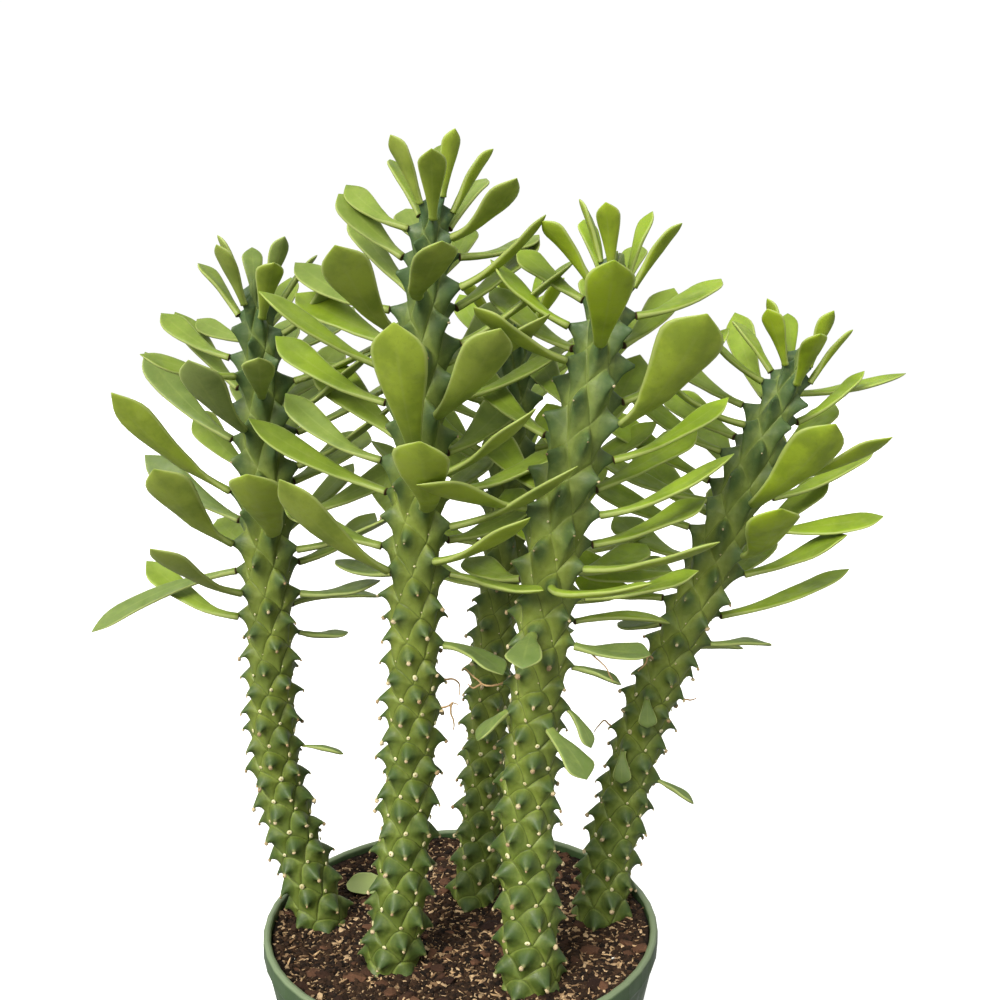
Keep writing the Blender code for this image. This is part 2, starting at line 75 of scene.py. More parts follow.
# line: x, y and height above stemZero in mm. knob: height and angle of one knob.
# leaves: knob's height and angle, then the leaf's heading, rise, length and width. These are in the CAD.
stems = {
    "stem_1": {
        "line": [(-57.5, 9, -11), (-57.5, 9, 0), (-63, 9, 22), (-71, 10, 50), (-75.5, 10, 80),
                 (-76, 11, 137), (-76.5, 12, 216), (-78, 13, 262)],
        "radius": 8.3 * mm, "winding": -1, "knob": (111, -5), "seed": 11,
        "leafTone": (0.45, 0.9),
        "leaves": [
            (251, -110, -125, 15, 33, 9), (238, -95, -120, 27, 38, 10), (227, -80, -62, 14, 36, 11),
            (215, 5, 10, 30, 30, 12), (204, -55, -18, 38, 44, 16), (197, -95, -118, 38, 55, 13),
            (189, -85, -50, 42, 60, 14), (164, 8, -4, 36, 48, 20), (163, -45, -27, 42, 50, 18),
            (139, -30, -30, 30, 50, 14), (135, -100, -120, 22, 50, 11), (139, 140, 122, -4, 42, 9),
            (150, -70, -80, -22, 62, 10),
        ],
    },
    "stem_2": {
        "line": [(-26, -22, -11), (-26, -22, 0), (-22.5, -23, 29), (-20, -23, 57), (-17.5, -23, 90),
                 (-15, -23.5, 161), (-11.5, -24, 236), (-6.5, -24, 292)],
        "radius": 8.4 * mm, "winding": -1, "knob": (90, 0), "seed": 12,
        "leafTone": (0.3, 0.75),
        "leaves": [
            (287, -95, -135, 29, 35, 9), (288, 115, 135, 14, 40, 10), (249, -100, -130, 21, 50, 12),
            (248, -5, 20, 22, 42, 15), (243, -60, -22, 36, 46, 16), (218, 20, 34, 37, 50, 17),
            (223, -95, -118, 26, 54, 12), (218, 90, 118, 23, 54, 11), (201, -25, -8, 55, 54, 19),
            (194, -95, -126, 27, 50, 11), (188, 0, -2, 36, 47, 19), (178, -105, -98, 26, 60, 12),
            (178, 85, 54, 26, 58, 11), (167, -48, -45, 40, 58, 14), (159, 40, 48, 25, 50, 12),
            (160, 60, 38, 2, 48, 9), (135, 56, 44, -10, 30, 13),
        ],
    },
    "stem_3": {
        "line": [(27, -36, -11), (27, -36, 0), (26, -35, 35), (25.5, -34, 74), (28.5, -33, 111),
                 (35, -31.5, 170), (46, -30, 219), (56.5, -28, 269)],
        "radius": 9.0 * mm, "winding": 1, "knob": (91, 6), "seed": 13,
        "leafTone": (0.0, 0.5),
        "leaves": [
            (263, 90, 125, 19, 42, 14), (236, -18, 2, 36, 44, 16), (220, 90, 118, 29, 54, 13),
            (216, 30, 31, 43, 55, 22), (196, 90, 115, 24, 52, 11), (180, 105, 108, 22, 55, 11),
            (166, 80, 52, 17, 54, 11), (156, 20, 44, 12, 50, 9), (135, 125, 118, -8, 44, 8),
            (134, -20, -10, -15, 22, 13), (107, 50, 36, -28, 24, 12),
        ],
    },
    "stem_4": {
        "line": [(57, 11.5, -11), (57, 11.5, 0), (61.5, 13, 31), (69, 14, 65), (77, 15, 95),
                 (97, 17.5, 142), (119, 20, 200), (135, 22, 236)],
        "radius": 8.6 * mm, "winding": -1, "knob": (35, 24), "seed": 14,
        "leafTone": (0.0, 0.5),
        "leaves": [
            (227, 150, 98, 8, 54, 12), (208, -150, -172, 44, 50, 13), (178, 25, 42, 43, 50, 22),
            (178, 95, 112, 20, 52, 13), (153, 30, 2, 33, 46, 20), (140, 90, 96, 18, 58, 14),
            (133, 90, 122, -8, 32, 8),
        ],
    },
    "stem_5": {
        "line": [(4.5, 28, -11), (4.5, 28, 0), (7, 30, 23), (9, 32, 55), (12, 35, 105),
                 (17.5, 38.5, 156), (21.5, 42, 223), (23, 44, 252)],
        "radius": 7.8 * mm, "winding": 1, "knob": (75, 0), "seed": 15,
        "leafTone": (0.0, 0.45),
        "leaves": [
            (243, 140, 125, 22, 42, 12), (235, -170, 170, 48, 40, 13), (225, -120, -125, 25, 48, 12),
        ],
    },
}


def smoothLine(points, steps):
    points = np.array(points, dtype=float) * mm + np.array([0.0, 0.0, growth["stemZero"]])
    ends = np.vstack([2 * points[0] - points[1], points, 2 * points[-1] - points[-2]])
    line = []
    for i in range(1, len(ends) - 2):
        a, b, c, d = ends[i - 1:i + 3]
        for t in np.arange(steps) / steps:
            line.append(0.5 * (2 * b + (c - a) * t + (2 * a - 5 * b + 4 * c - d) * t * t
                               + (3 * b - a - 3 * c + d) * t ** 3))
    line.append(ends[-2])
    return np.array(line)


class Stem:

    def __init__(self, spec):
        self.spec = spec
        self.line = smoothLine(spec["line"], 12)
        self.radius = spec["radius"]
        self.winding = spec["winding"]
        steps = np.linalg.norm(np.diff(self.line, axis=0), axis=1)
        self.along = np.concatenate([[0.0], np.cumsum(steps)])
        self.length = self.along[-1]
        self.base = self.alongAtHeight(0)
        self.placeKnobs(self.alongAtHeight(spec["knob"][0]))

    def alongAtHeight(self, height):
        return float(np.interp(growth["stemZero"] + height * mm, self.line[:, 2], self.along))

    def share(self, along):
        return (along - self.base) / (self.length - self.base)

    def pitch(self, along):
        return float(np.interp(self.share(along), (0, 0.42, 0.62, 0.86, 1),
                               (growth["pitchLow"], growth["pitchLow"], growth["pitchHigh"],
                                growth["pitchHigh"], growth["pitchTip"])))

    def placeKnobs(self, anchor):
        up = [anchor]
        while up[-1] < self.length + 12 * mm:
            up.append(up[-1] + self.pitch(up[-1]))
        down = [anchor]
        while down[-1] > self.base - 20 * mm:
            down.append(down[-1] - self.pitch(down[-1]))
        self.heights = np.array(down[:0:-1] + up)
        self.numbers = np.arange(len(self.heights)) - (len(down) - 1)
        lowest = growth["soilLevel"] + growth["knobEndTall"] + growth["knobDroop"] + 1.0 * mm
        upward = [int(n) for n in self.numbers if self.alongAt(n) < self.length - 3 * mm]
        buried = [n for n in upward if self.knobEnd(n)[0][2] <= lowest]
        self.knobs = [n for n in upward if n > buried[-1]]

    def alongAt(self, number):
        return np.interp(number, self.numbers, self.heights)

    def angleAt(self, number):
        return self.spec["knob"][1] + self.winding * growth["divergence"] * number

    def core(self, along):
        return self.radius * np.interp(self.share(along), (0, 0.06, 0.2, 0.8, 0.93, 1.0),
                                       (1.16, 1.08, 1.0, 0.95, 0.75, 0.30))

    def knobOut(self, along):
        return np.interp(self.share(along), (0, 0.45, 0.62, 0.88, 1.0),
                         (growth["knobOutLow"], growth["knobOutLow"], growth["knobOutHigh"],
                          growth["knobOutHigh"], growth["knobOutTip"]))

    def place(self, along):
        along = np.atleast_1d(np.asarray(along, dtype=float))
        return np.stack([np.interp(along, self.along, self.line[:, k]) for k in range(3)], axis=1)

    def axes(self, along):
        # centre, upward, front and right directions for each distance along the stem
        along = np.atleast_1d(np.asarray(along, dtype=float))
        centre = self.place(along)
        held = np.clip(along, 3 * mm, self.length - mm)
        up = self.place(held + 2 * mm) - self.place(held - 2 * mm)
        up /= np.linalg.norm(up, axis=1)[:, None]
        front = np.array([0.0, -1.0, 0.0]) - up * (-up[:, 1])[:, None]
        front /= np.linalg.norm(front, axis=1)[:, None]
        return centre, up, front, np.cross(up, front)

    def outward(self, along, angle):
        _, _, front, right = self.axes(along)
        turn = np.radians(np.atleast_1d(angle))[:, None]
        return np.cos(turn) * front + np.sin(turn) * right

    def knobEnd(self, number):
        # centre, outward, side and upward directions of a knob's end
        along = self.alongAt(number)
        centre, up, _, _ = self.axes(along)
        outward = self.outward(along, self.angleAt(number))
        reach = self.core(along) + self.knobOut(along)
        centre = centre + reach * outward - up * growth["knobDroop"]
        return centre[0], outward[0], np.cross(up, outward)[0], up[0]

    def nearestKnob(self, height, angle, taken):
        along = self.alongAtHeight(height)
        best = None
        for number in self.knobs:
            if number in taken or number > self.knobs[-1] - growth["crownLeaves"]:
                continue
            turn = (self.angleAt(number) - angle + 180) % 360 - 180
            rise = (self.alongAt(number) - along) / mm
            miss = math.hypot(turn * 0.25, rise)
            if best is None or miss < best[0]:
                best = (miss, number)
        return best[1]


grown = {name: Stem(spec) for name, spec in stems.items()}
print("stems grown:", {name: len(stem.knobs) for name, stem in grown.items()})


# small helpers

def addObject(name, data):
    thing = bpy.data.objects.new(name, data)
    bpy.context.scene.collection.objects.link(thing)
    return thing


def addValues(mesh, name, values):
    layer = mesh.attributes.new(name, "FLOAT", "POINT")
    layer.data.foreach_set("value", np.asarray(values, dtype=np.float32))


def makeObject(name, points, faces, material, attributes=None, shadeSmooth=True):
    mesh = bpy.data.meshes.new(name)
    mesh.from_pydata([tuple(p) for p in points], [], [tuple(int(i) for i in f) for f in faces])
    for key, values in (attributes or {}).items():
        addValues(mesh, key, values)
    mesh.materials.append(material)
    mesh.polygons.foreach_set("use_smooth", [shadeSmooth] * len(mesh.polygons))
    mesh.update()
    return addObject(name, mesh)


def tidyMesh(thing, weld=2e-6, capHoles=True):
    # weld seams, close the ends and turn every face outward
    build = bmesh.new()
    build.from_mesh(thing.data)
    bmesh.ops.remove_doubles(build, verts=build.verts[:], dist=weld)
    openEdges = [e for e in build.edges if len(e.link_faces) == 1]
    if capHoles and openEdges:
        bmesh.ops.holes_fill(build, edges=openEdges, sides=0)
    bmesh.ops.recalc_face_normals(build, faces=build.faces[:])
    if build.calc_volume(signed=True) < 0:
        bmesh.ops.reverse_faces(build, faces=build.faces[:])
    build.to_mesh(thing.data)
    build.free()


def ringFaces(rings, around):
    # faces between rings of points, closed at both ends
    index = np.arange(rings * around).reshape(rings, around)
    after = np.roll(index, -1, axis=1)
    quads = np.stack([index[:-1], after[:-1], after[1:], index[1:]], axis=-1).reshape(-1, 4)
    return quads.tolist() + [index[0][::-1].tolist(), index[-1].tolist()]


class Graph:
    # nodes by type, each input joined to a socket or set to a value

    def __init__(self, tree):
        self.tree = tree

    def join(self, value, socket):
        if isinstance(value, bpy.types.NodeSocket):
            self.tree.links.new(value, socket)
        else:
            socket.default_value = value

    def add(self, kind, inputs=None, **settings):
        node = self.tree.nodes.new(kind)
        for key, value in settings.items():
            setattr(node, key, value)
        for key, value in (inputs or {}).items():
            self.join(value, node.inputs[key])
        return node


# materials

class Paint(Graph):

    def __init__(self, name):
        self.material = bpy.data.materials.new(name)
        self.material.use_nodes = True
        super().__init__(self.material.node_tree)
        self.shader = self.tree.nodes["Principled BSDF"]
        self.coords = self.add("ShaderNodeTexCoord").outputs["Object"]

    def attribute(self, name):
        return self.add("ShaderNodeAttribute", attribute_name=name).outputs["Fac"]

    def noise(self, scale, detail=3.0, roughness=0.55, distortion=0.0):
        node = self.add("ShaderNodeTexNoise", {"Vector": self.coords, "Scale": scale, "Detail": detail,
                                               "Roughness": roughness, "Distortion": distortion})
        return node.outputs["Fac"]

    def band(self, value, low, high):
        # 0 below low, 1 above high, smooth between
        node = self.add("ShaderNodeMapRange", {"Value": value, "From Min": low, "From Max": high},
                        interpolation_type="SMOOTHSTEP")
        return node.outputs["Result"]

    def math(self, operation, first, second):
        return self.add("ShaderNodeMath", {0: first, 1: second}, operation=operation).outputs[0]

    def mix(self, factor, first, second):
        return self.add("ShaderNodeMix", {0: factor, 6: first, 7: second}, data_type="RGBA").outputs[2]

    def tint(self, colour, other, amount, cover):
        # an amount of another colour, as far as the cover reaches
        return self.mix(self.math("MULTIPLY", cover, amount), colour, other)

    def mottle(self, colour, other, amount, low, high, *noise):
        # an amount of another colour, in the patches where a noise rises from low to high
        return self.tint(colour, other, amount, self.band(self.noise(*noise), low, high))

    def ramp(self, value, stops):
        node = self.add("ShaderNodeValToRGB", {"Fac": value})
        points = node.color_ramp.elements
        while len(points) < len(stops):
            points.new(0.5)
        for point, (position, colour) in zip(points, stops):
            point.position = position
            point.color = colour
        return node.outputs["Color"]

    def bump(self, height, distance, strength, normal=None):
        node = self.add("ShaderNodeBump", {"Height": height, "Distance": distance, "Strength": strength})
        if normal is not None:
            self.join(normal, node.inputs["Normal"])
        return node.outputs["Normal"]

    def finish(self, **sockets):
        for key, value in sockets.items():
            self.join(value, self.shader.inputs[key.replace("_", " ")])
        return self.material


def makeStemSkin():
    n = Paint("stemSkin")
    share, rim, reach, tone = [n.attribute(name) for name in ("share", "rim", "reach", "tone")]
    body = n.ramp(share, [(0.0, srgb(70, 85, 30)), (0.16, srgb(86, 102, 32)), (0.38, srgb(106, 118, 38)),
                          (0.62, srgb(112, 124, 46)), (0.82, srgb(96, 112, 56)), (1.0, srgb(76, 98, 60))])
    crest = n.ramp(share, [(0.0, srgb(56, 75, 33)), (0.3, srgb(64, 84, 38)), (0.6, srgb(78, 97, 48)),
                           (0.85, srgb(72, 94, 55)), (1.0, srgb(61, 87, 57))])
    colour = n.mix(n.band(reach, 0.06, 0.5), body, crest)
    low = n.math("MULTIPLY", n.band(share, 0.72, 0.5), 0.5)
    colour = n.tint(colour, srgb(140, 154, 68), 0.4, n.band(reach, 0.10, 0.02))  # pale valleys
    # dark grooves between the cells, stronger on the bare part
    colour = n.tint(colour, srgb(50, 66, 22), n.math("MAXIMUM", low, 0.12), n.band(rim, 0.05, 0.015))
    colour = n.mottle(colour, srgb(148, 158, 84), 0.28, 0.45, 0.75, 260, 4)
    colour = n.mottle(colour, srgb(56, 74, 24), 0.35, 0.62, 0.35, 90, 3)
    colour = n.mottle(colour, srgb(62, 74, 32), 0.35, 0.56, 0.72, 1100, 4, 0.7)
    colour = n.tint(colour, srgb(68, 88, 40), 0.3, tone)
    colour = n.tint(colour, srgb(140, 138, 84), low, n.band(reach, 0.8, 0.98))  # pale knob tips
    grain = n.bump(n.noise(1400, 4), 0.00012, 0.5)
    pores = n.bump(n.noise(380, 5, 0.6), 0.0004, 0.45, grain)
    return n.finish(Base_Color=colour, Roughness=n.band(n.noise(300), -0.6, 1.5), Normal=pores,
                    Subsurface_Weight=0.06, Subsurface_Scale=0.0015, Subsurface_Radius=(0.4, 1.0, 0.15),
                    Specular_IOR_Level=0.3)


def makeLeafSkin(name, paleness):
    n = Paint(name)
    edge, under, reach, tone = [n.attribute(key) for key in ("edge", "under", "reach", "tone")]
    upper = n.ramp(tone, [(0.0, srgb(132, 158, 18)), (0.35, srgb(124, 146, 34)), (0.7, srgb(114, 133, 48)),
                          (1.0, srgb(92, 110, 66))])
    lower = n.ramp(tone, [(0.0, srgb(150, 172, 28)), (0.35, srgb(146, 164, 46)), (0.7, srgb(140, 154, 60)),
                          (1.0, srgb(110, 126, 76))])
    colour = n.mix(under, upper, lower)
    colour = n.tint(colour, srgb(128, 144, 64), 0.5, n.band(reach, 0.35, 0.05))  # foot
    colour = n.mottle(colour, srgb(146, 158, 78), 0.3, 0.44, 0.78, 220, 5, 0.65)
    colour = n.mottle(colour, srgb(70, 92, 22), 0.4, 0.6, 0.32, 80, 4)
    colour = n.mottle(colour, srgb(78, 94, 34), 0.2, 0.52, 0.75, 900, 4, 0.7)
    midrib = n.math("MULTIPLY", n.band(edge, 0.10, 0.02), n.band(reach, 0.95, 0.7))
    colour = n.tint(colour, srgb(150, 162, 84), 0.16, midrib)
    colour = n.tint(colour, srgb(172, 182, 108), 0.65, n.band(edge, 0.84, 0.98))  # margin
    colour = n.mix(n.band(reach, 0.010, 0.004), colour, srgb(74, 54, 34))  # scar
    colour = n.mix(paleness, colour, srgb(176, 190, 124))
    grain = n.bump(n.noise(1600, 3), 0.00005, 0.4)
    veins = n.bump(n.noise(330, 5, 0.6), 0.0002, 0.4, grain)
    return n.finish(Base_Color=colour, Roughness=n.band(n.noise(260), -0.7, 1.6), Normal=veins,
                    Subsurface_Weight=0.12, Subsurface_Scale=0.0015, Subsurface_Radius=(0.5, 1.0, 0.15),
                    Specular_IOR_Level=0.28)


def makeCork():
    n = Paint("corkScar")
    colour = n.mix(n.attribute("tone"), srgb(206, 190, 150), srgb(150, 122, 84))
    grain = n.mix(n.band(n.noise(1800, 4), 0.5, 0.75), colour, srgb(88, 58, 36))
    return n.finish(Base_Color=grain, Roughness=0.9, Normal=n.bump(n.noise(2200, 4), 0.0003, 0.8))


def makeAxilRing():
    n = Paint("axilRing")
    pale = n.mix(n.attribute("tone"), srgb(214, 208, 164), srgb(176, 168, 118))
    colour = n.mix(n.band(n.attribute("middle"), 0.5, 0.2), pale, srgb(146, 122, 76))
    return n.finish(Base_Color=colour, Roughness=0.8, Normal=n.bump(n.noise(2500, 3), 0.0002, 0.6))


def makeSoilSkin():
    n = Paint("soilMix")
    base = n.ramp(n.noise(520, 8, 0.72), [(0.25, srgb(12, 7, 5)), (0.5, srgb(32, 21, 14)),
                                          (0.68, srgb(58, 40, 27)), (0.9, srgb(110, 84, 58))])
    damp = n.mottle(base, srgb(34, 23, 16), 0.5, 0.4, 0.7, 60, 3)
    rough = n.bump(n.noise(700, 8, 0.7), 0.0012, 0.9)
    return n.finish(Base_Color=damp, Roughness=0.95, Normal=rough, Specular_IOR_Level=0.2)


def makeChipSkin(name, dark, light, scale):
    n = Paint(name)
    base = n.mix(n.attribute("tone"), dark, light)
    grain = n.mottle(base, srgb(44, 28, 19), 0.5, 0.45, 0.7, scale, 6, 0.7, 1.5)
    pale = n.mottle(grain, srgb(172, 144, 108), 0.35, 0.62, 0.8, scale * 1.7, 3)
    return n.finish(Base_Color=pale, Roughness=0.92, Normal=n.bump(n.noise(scale * 2, 5), 0.0005, 0.7),
                    Specular_IOR_Level=0.2)


def makePerlite():
    n = Paint("whiteGrit")
    colour = n.mix(n.band(n.noise(1500, 4), 0.5, 0.75), srgb(226, 222, 212), srgb(178, 168, 150))
    return n.finish(Base_Color=colour, Roughness=0.8, Normal=n.bump(n.noise(2000, 4), 0.0004, 0.8))


def makePotPlastic():
    n = Paint("potPlastic")
    height = n.add("ShaderNodeSeparateXYZ", {"Vector": n.coords}).outputs["Z"]
    green = n.mix(n.band(n.noise(38, 4), 0.35, 0.7), srgb(54, 74, 42), srgb(64, 86, 50))
    paintedLipHighlight = n.tint(green, srgb(138, 152, 116), 0.55, n.band(height, 0.1135, 0.1146))  # painted highlight: a lighter band on the lip's top, where light falls on it
    dust = n.mottle(paintedLipHighlight, srgb(96, 92, 70), 0.25, 0.52, 0.8, 150, 6, 0.65)
    fine = n.bump(n.noise(2400, 3), 0.00008, 0.4)
    return n.finish(Base_Color=dust, Roughness=n.band(n.noise(120, 4), -0.5, 1.6), Normal=fine,
                    Specular_IOR_Level=0.45)


def makeDryStalk():
    n = Paint("dryStalk")
    colour = n.mix(n.noise(600, 4), srgb(112, 82, 54), srgb(190, 158, 108))
    return n.finish(Base_Color=colour, Roughness=0.9, Normal=n.bump(n.noise(1500, 4), 0.0003, 0.7))


stemSkin = makeStemSkin()
leafSkin = makeLeafSkin("leafSkin", 0.0)
paleLeafSkin = makeLeafSkin("paleLeafSkin", 0.7)
corkScar = makeCork()
axilRing = makeAxilRing()
soilMix = makeSoilSkin()
crumbSkin = makeChipSkin("soilCrumb", srgb(13, 8, 5), srgb(62, 43, 28), 600)
barkSkin = makeChipSkin("barkChip", srgb(34, 20, 15), srgb(104, 72, 52), 700)
fleckSkin = makeChipSkin("woodFleck", srgb(108, 80, 54), srgb(214, 182, 140), 900)
fibreSkin = makeChipSkin("woodFibre", srgb(106, 78, 52), srgb(204, 170, 126), 900)
perlite = makePerlite()
potPlastic = makePotPlastic()
dryStalk = makeDryStalk()
print("materials made")


# stems: a net of four-cornered cells, each drawn out into a knob

skin = {
    # where a cell's lines run, from one side to the other
    "lines": (0, 0.02, 0.055, 0.11, 0.18, 0.26, 0.34, 0.41, 0.47, 0.52, 0.57, 0.62, 0.68, 0.75, 0.82, 0.89,
              0.945, 0.98, 1),
    "buried": 7 * mm,
    "dome": 6 * mm,
    "domeRise": 1.5 * mm,
    "tipReach": 0.8 * mm,
    "cushion": 0.9 * mm,
    "groove": 0.42 * mm,
    "unevenness": 0.26 * mm,
    "jitter": 0.7 * mm,
    "swing": 4.0,
    "cellTwist": 10,
    "cellHalf": 42.5,
    # from here on: shares of the stem's height, and the values there
    "sink": ((0, 0.25, 0.42, 0.65, 1), (0.9, 1.3, 1.8, 2.2, 2.0)),
    "arch": ((0, 0.45, 0.65, 1), (0.26, 0.24, 0.1, 0.06)),
    "lift": ((0, 0.25, 0.42, 0.62, 1), (0.12, 0.22, 0.36, 0.46, 0.46)),
    "below": ((0, 0.45, 0.65, 1), (0.85, 0.75, 0.32, 0.36)),
    "foot": ((0, 0.45, 0.65, 1), (7.0, 7.0, 7.2, 5.0)),
    "sharpness": ((0, 0.45, 0.65, 1), (3.1, 3.2, 3.6, 2.8)),
    "grooved": ((0, 0.45, 0.65, 1), (1, 0.8, 0.3, 0.3)),
    "slim": ((0, 0.25, 0.6, 0.8, 0.93, 1), (0.95, 0.935, 0.93, 0.86, 0.74, 0.6)),
    "longer": ((0, 0.5, 0.6), (1.2, 1.2, 0.0)),
    "astray": ((0, 0.5, 0.6), (1.0, 1.0, 0)),
}


def ripple(points, size):
    # a smooth, slow unevenness, between -1 and 1
    x, y, z = (points / size).T
    slow = np.sin(x + 1.7 * np.sin(0.7 * z)) * np.sin(y + 1.3 * np.sin(0.9 * x))
    return (slow + np.sin(1.3 * z + x - y)) * 0.5


def knobCell(stem, number, u, v, chance):
    # surface points of one cell, with the values its material reads
    winding = stem.winding
    twist, half = skin["cellTwist"] * winding, skin["cellHalf"]

    def shareAt(at):
        return float(np.clip(stem.share(stem.alongAt(at)), 0, 1))

    def corner(offset, turn):
        # the same for every cell that meets there
        at = number + offset
        sink = np.interp(shareAt(at), *skin["sink"])
        shift = skin["jitter"] * math.sin(12.9 * at)
        return float(stem.alongAt(at + 4 - sink)) + shift, turn + skin["swing"] * math.sin(7.3 * at)

    def arch(one, other):
        # an edge bows upward by a share of its own rise
        return np.interp(float(stem.share(0.5 * (one + other))), *skin["arch"]) * abs(one - other)

    share = shareAt(number)
    rightAt, leftAt = (-3, -5) if winding < 0 else (-5, -3)
    corners = [corner(0, twist), corner(-8, -twist), corner(rightAt, half), corner(leftAt, -half)]
    weights = (u * v, (1 - u) * (1 - v), u * (1 - v), (1 - u) * v)
    along = sum(w * c[0] for w, c in zip(weights, corners))
    angle = stem.angleAt(number) + sum(w * c[1] for w, c in zip(weights, corners))
    top, bottom, right, left = [c[0] for c in corners]
    along = along + (np.sin(np.pi * v) * (u * arch(right, top) + (1 - u) * arch(bottom, left))
                     + np.sin(np.pi * u) * (v * arch(left, top) + (1 - v) * arch(bottom, right)))

    # a and b run up and across the cell, rim is 0 on its border, peak is 1 where the knob stands
    a = u + v - 1
    b = u - v
    rim = np.clip(1 - np.abs(a) - np.abs(b), 0, 1)
    high = (a - np.interp(share, *skin["lift"])) * 0.5 * (top - bottom)
    high = np.where(high < 0, high * np.interp(share, *skin["below"]), high)
    wide = b * np.radians(half) * stem.core(float(stem.alongAt(number))) * 1.1
    away = np.sqrt(wide ** 2 + high ** 2)
    foot = np.interp(share, *skin["foot"]) * mm * chance.uniform(0.88, 1.1)
    peak = (1 - np.clip(away / foot - 0.07, 0, 1)) ** np.interp(share, *skin["sharpness"])
    peak = peak * (1 - (1 - rim) ** 9)

    centre, up, _, _ = stem.axes(along)
    outward = stem.outward(along, angle)
    over = np.clip((along - stem.length) / skin["dome"], 0, 1)
    radius = stem.core(along) * np.sqrt(np.clip(1 - over, 0, 1)) * np.interp(stem.share(along), *skin["slim"])
    groove = np.interp(share, *skin["grooved"]) * skin["groove"]
    swell = skin["cushion"] * (1 - (1 - rim) ** 2) + groove * (1 - np.exp(-rim / 0.05))
    flat = centre + outward * (radius + swell * (1 - over))[:, None] + up * (over * skin["domeRise"])[:, None]
    bumps = ripple(flat, 3.1 * mm) + 0.6 * ripple(flat + 7 * mm, 1.3 * mm)
    flat = flat + outward * (skin["unevenness"] * bumps * np.clip(rim * 8, 0, 1))[:, None]
    height = np.clip(stem.share(along), 0, 1)
    if number > stem.knobs[-1]:
        return flat, height, rim, peak * 0
    end, direction, side, _ = stem.knobEnd(number)
    longer = skin["tipReach"] * np.interp(share, *skin["longer"]) * chance.uniform(0.4, 1.6)
    astray = np.interp(share, *skin["astray"]) * mm
    seat = int(np.argmin(away))
    pull = end + direction * longer + side * astray * chance.uniform(-1, 1) - flat[seat]
    pull = pull + up[seat] * astray * chance.uniform(-0.8, 0.5)
    return flat + (peak / peak[seat])[:, None] * pull, height, rim, peak / peak[seat]


def makeStemMesh(name, stem):
    lines = np.array(skin["lines"])
    count = len(lines)
    u, v = [g.ravel() for g in np.meshgrid(lines, lines, indexing="ij")]
    order = np.arange(count * count).reshape(count, count)
    quads = np.stack([order[:-1, :-1], order[1:, :-1], order[1:, 1:], order[:-1, 1:]], axis=-1).reshape(-1, 4)
    chance = np.random.default_rng(stem.spec["seed"])
    points, faces = [], []
    marks = {"share": [], "rim": [], "reach": [], "tone": []}
    first = int(np.searchsorted(stem.heights, stem.base - skin["buried"]))
    last = int(np.searchsorted(stem.heights, stem.length + 1 * mm))
    for number in stem.numbers[first:last]:
        place, height, rim, peak = knobCell(stem, int(number), u, v, chance)
        if number <= stem.knobs[-1]:
            tipsOfKnobs[name][int(number)] = (place[int(np.argmax(peak))], stem.knobEnd(int(number))[1])
        faces.append(quads + len(points) * count * count)
        points.append(place)
        tone = np.full(len(place), chance.random()) * np.clip(rim * 6, 0, 1)
        for key, values in zip(marks, (height, rim, peak, tone)):
            marks[key].append(values)
    thing = makeObject("knobbly_" + name, np.concatenate(points), np.concatenate(faces), stemSkin,
                       {key: np.concatenate(values) for key, values in marks.items()})
    tidyMesh(thing)
    return thing


tipsOfKnobs = {}
for name, stem in grown.items():
    tipsOfKnobs[name] = {}
    piece = makeStemMesh(name, stem)
    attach(piece, "root")
    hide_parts(name)
print("stem skins made")


# leaves: closed blades on a curved middle line, each from its scar to its tip

blade = {
    "stations": (0, 0.007, 0.04, 0.1, 0.18, 0.26, 0.34, 0.42, 0.5, 0.58, 0.66, 0.73, 0.79, 0.845, 0.89, 0.93,
                 0.965, 0.985, 1),
    # shares of the leaf's length, and the width or depth there
    "width": ((0, 0.08, 0.2, 0.32, 0.45, 0.58, 0.68, 0.78, 0.84, 0.89, 0.94, 0.975, 1.0),
              (0.31, 0.30, 0.38, 0.50, 0.66, 0.83, 0.94, 1.0, 0.92, 0.74, 0.45, 0.20, 0.03)),
    "depth": ((0, 0.1, 0.3, 0.6, 0.85, 0.95, 1.0), (1.2, 1.1, 1.0, 0.92, 0.72, 0.5, 0.12)),
    "thickness": 2.5 * mm,
    "around": 16,
    "cup": 0.16,
    "footHalf": 1.7 * mm,
    "sunk": 0.7 * mm,
    "oldTone": 0.9,
}


